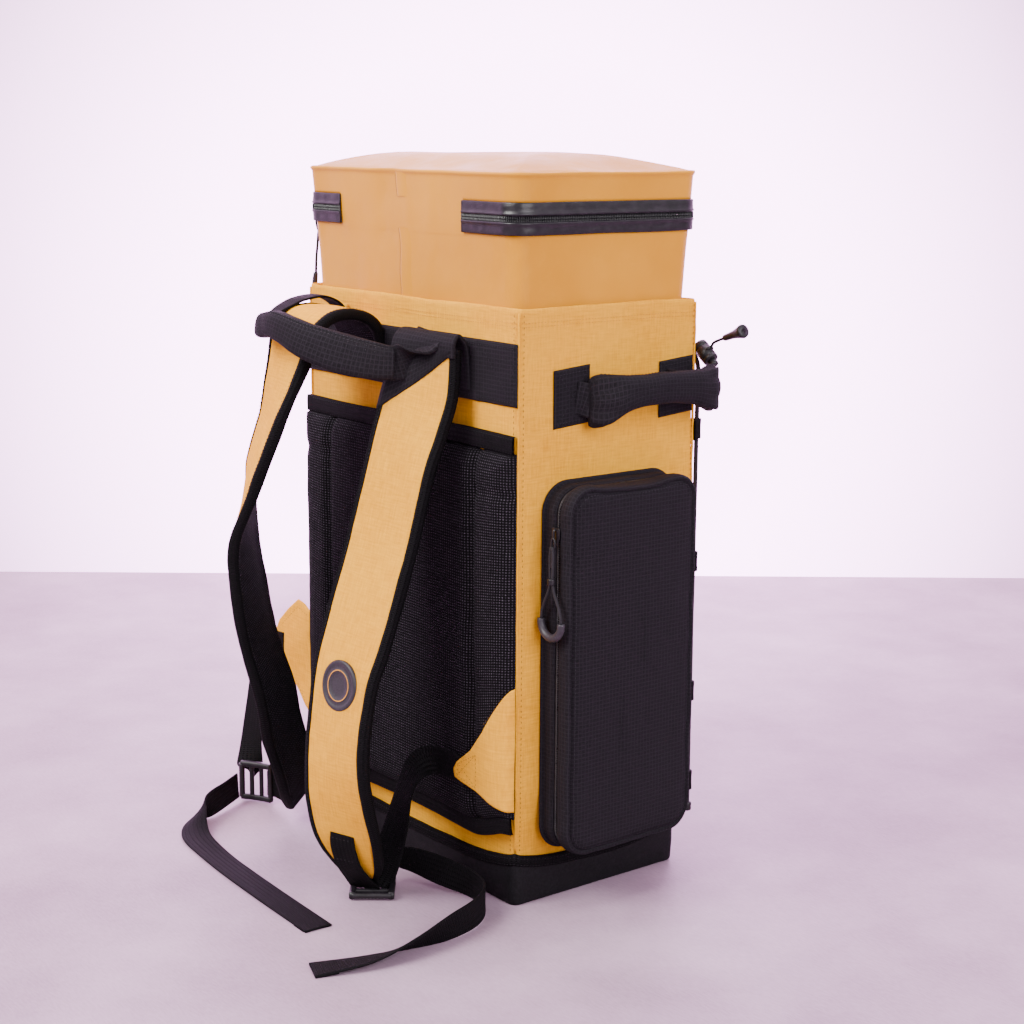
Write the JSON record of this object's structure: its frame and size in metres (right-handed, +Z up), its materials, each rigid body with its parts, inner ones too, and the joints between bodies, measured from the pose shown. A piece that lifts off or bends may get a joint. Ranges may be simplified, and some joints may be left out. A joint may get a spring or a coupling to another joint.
{
  "type": "tackle backpack",
  "caption": "Upright fishing tackle backpack: open canvas bag with a lift-out zipped cooler box, side and front pockets, grab handles and padded shoulder straps.",
  "frame": {"origin": "centre of the flat base on the ground", "axes": "+Z up, -Y the wearer's side with the shoulder straps, +Y the front"},
  "size_m": [0.452, 0.4158, 0.616],
  "materials": {
    "canvas": "woven canvas",
    "box_skin": "satin coated fabric",
    "mesh": "air mesh",
    "ripstop": "ripstop weave",
    "webbing": "flat webbing",
    "boot": "coated base fabric",
    "zip_tape": "coated zip tape",
    "zip_coil": "moulded coil",
    "zip_metal": "black painted",
    "moulding": "moulded acetal",
    "elastic": "braided elastic",
    "foam": "closed cell foam",
    "liner": "wipe-clean liner",
    "board": "stiffener sheet",
    "spring": "steel",
    "badge": "printed patch"
  },
  "bodies": {
    "bag": {"outer_shell": "canvas", "base_boot": "boot", "base_board": "board", "base_foam": "foam", "frame_sheet": "board", "back_panel": "mesh", "panel_bindings": "webbing", "anchor_band": "ripstop", "side_wings": "canvas", "side_patches": "ripstop", "front_loops": "webbing", "bungee_cord": "elastic", "bungee_knots": "zip_metal", "cord_lock_body": "moulding", "cord_lock_spring": "spring", "cord_tail": "elastic", "cord_bell": "moulding", "strap_yokes": "ripstop", "lower_webs": "webbing", "pocket_gusset_right": "ripstop", "pocket_zip_right": "zip_coil", "pocket_gusset_left": "ripstop", "pocket_zip_left": "zip_coil", "pocket_gusset_front": "ripstop", "pocket_zip_front": "zip_coil"},
    "cooler": {"cooler_shell": "box_skin", "cooler_foam": "foam", "cooler_liner": "liner", "lid_hinge": "box_skin", "zip_tape_lower": "zip_tape"},
    "lid": {"lid_shell": "box_skin", "lid_foam": "foam", "lid_liner": "liner", "zip_tape_upper": "zip_tape"},
    "lid_slider": {"lid_slider": "zip_metal"},
    "lid_pull": {"lid_pull_tab": "zip_metal", "lid_pull_cord": "elastic", "lid_pull_grip": "moulding"},
    "lock_button": {"cord_lock_button": "moulding"},
    "side_handle_right": {"side_handle_right": "ripstop"},
    "side_handle_left": {"side_handle_left": "ripstop"},
    "haul_handle": {"haul_handle": "ripstop"},
    "strap_right": {"strap_right": "canvas", "strap_badge": "badge", "tab_right": "webbing", "buckle_right": "moulding", "tail_right": "webbing"},
    "strap_left": {"strap_left": "canvas", "tab_left": "webbing", "buckle_left": "moulding", "tail_left": "webbing"},
    "pocket_cover_right": {"pocket_cover_right": "ripstop"},
    "pocket_slider_right": {"pocket_slider_right": "zip_metal"},
    "pocket_pull_right": {"pocket_pull_right": "moulding"},
    "pocket_cover_left": {"pocket_cover_left": "ripstop"},
    "pocket_slider_left": {"pocket_slider_left": "zip_metal"},
    "pocket_pull_left": {"pocket_pull_left": "moulding"},
    "pocket_cover_front": {"pocket_cover_front": "ripstop"},
    "pocket_slider_front": {"pocket_slider_front": "zip_metal"},
    "pocket_pull_front": {"pocket_pull_front": "moulding"}
  },
  "joints": [
    {"name": "cooler_lift", "type": "slide", "parent": "bag", "child": "cooler", "axis": [0, 0, 1], "range_m": [0, 0.46]},
    {"name": "lid_open", "type": "hinge", "parent": "cooler", "child": "lid", "pos_m": [0, -0.096, 0.566], "axis": [1, 0, 0], "range_deg": [0, 105]},
    {"name": "lid_slider_travel", "type": "slide", "parent": "cooler", "child": "lid_slider", "axis": [0, 1, 0], "range_m": [0, 0.15]},
    {"name": "lid_pull_swing", "type": "hinge", "parent": "lid_slider", "child": "lid_pull", "pos_m": [-0.1588, -0.08, 0.567], "axis": [0, 1, 0], "range_deg": [0, 95]},
    {"name": "pocket_right_open", "type": "hinge", "parent": "bag", "child": "pocket_cover_right", "pos_m": [0.1717, 0, 0.05], "axis": [0, 1, 0], "range_deg": [0, 85]},
    {"name": "pocket_left_open", "type": "hinge", "parent": "bag", "child": "pocket_cover_left", "pos_m": [-0.1717, 0, 0.05], "axis": [0, -1, 0], "range_deg": [0, 85]},
    {"name": "pocket_front_open", "type": "hinge", "parent": "bag", "child": "pocket_cover_front", "pos_m": [0, 0.1088, 0.058], "axis": [-1, 0, 0], "range_deg": [0, 85]},
    {"name": "pocket_right_zip", "type": "slide", "parent": "bag", "child": "pocket_slider_right", "axis": [0, 0, 1], "range_m": [-0.225, 0]},
    {"name": "pocket_left_zip", "type": "slide", "parent": "bag", "child": "pocket_slider_left", "axis": [0, 0, 1], "range_m": [-0.225, 0]},
    {"name": "pocket_front_zip", "type": "slide", "parent": "bag", "child": "pocket_slider_front", "axis": [0, 0, 1], "range_m": [-0.13, 0.1]},
    {"name": "pocket_right_pull_swing", "type": "hinge", "parent": "pocket_slider_right", "child": "pocket_pull_right", "pos_m": [0.1732, -0.0744, 0.31], "axis": [-1, 0, 0], "range_deg": [0, 100]},
    {"name": "pocket_left_pull_swing", "type": "hinge", "parent": "pocket_slider_left", "child": "pocket_pull_left", "pos_m": [-0.1732, -0.0744, 0.31], "axis": [-1, 0, 0], "range_deg": [0, 100]},
    {"name": "pocket_front_pull_swing", "type": "hinge", "parent": "pocket_slider_front", "child": "pocket_pull_front", "pos_m": [0.1194, 0.1103, 0.225], "axis": [1, 0, 0], "range_deg": [0, 100]},
    {"name": "lock_press", "type": "slide", "parent": "bag", "child": "lock_button", "axis": [-0.8, 0, 0.6], "range_m": [0, 0.004], "stiffness_N_per_m": 400, "springref_m": -0.002, "deforming": ["cord_lock_spring"]},
    {"name": "side_handle_right_tilt", "type": "hinge", "parent": "bag", "child": "side_handle_right", "pos_m": [0.166, 0.033, 0.427], "axis": [0, 1, 0], "range_deg": [-10, 10]},
    {"name": "side_handle_left_tilt", "type": "hinge", "parent": "bag", "child": "side_handle_left", "pos_m": [-0.166, 0.033, 0.427], "axis": [0, 1, 0], "range_deg": [-10, 10]},
    {"name": "haul_handle_tilt", "type": "hinge", "parent": "bag", "child": "haul_handle", "pos_m": [-0.028, -0.163, 0.4595], "axis": [0.9595, 0.1702, -0.2244], "range_deg": [-8, 0]},
    {"name": "strap_right_swing", "type": "hinge", "parent": "bag", "child": "strap_right", "pos_m": [0.0595, -0.116, 0.448], "axis": [-1, 0, 0], "range_deg": [0, 8], "deforming": ["lower_webs"]},
    {"name": "strap_left_swing", "type": "hinge", "parent": "bag", "child": "strap_left", "pos_m": [-0.06, -0.173, 0.446], "axis": [-1, 0, 0], "range_deg": [0, 8], "deforming": ["lower_webs"]}
  ]
}
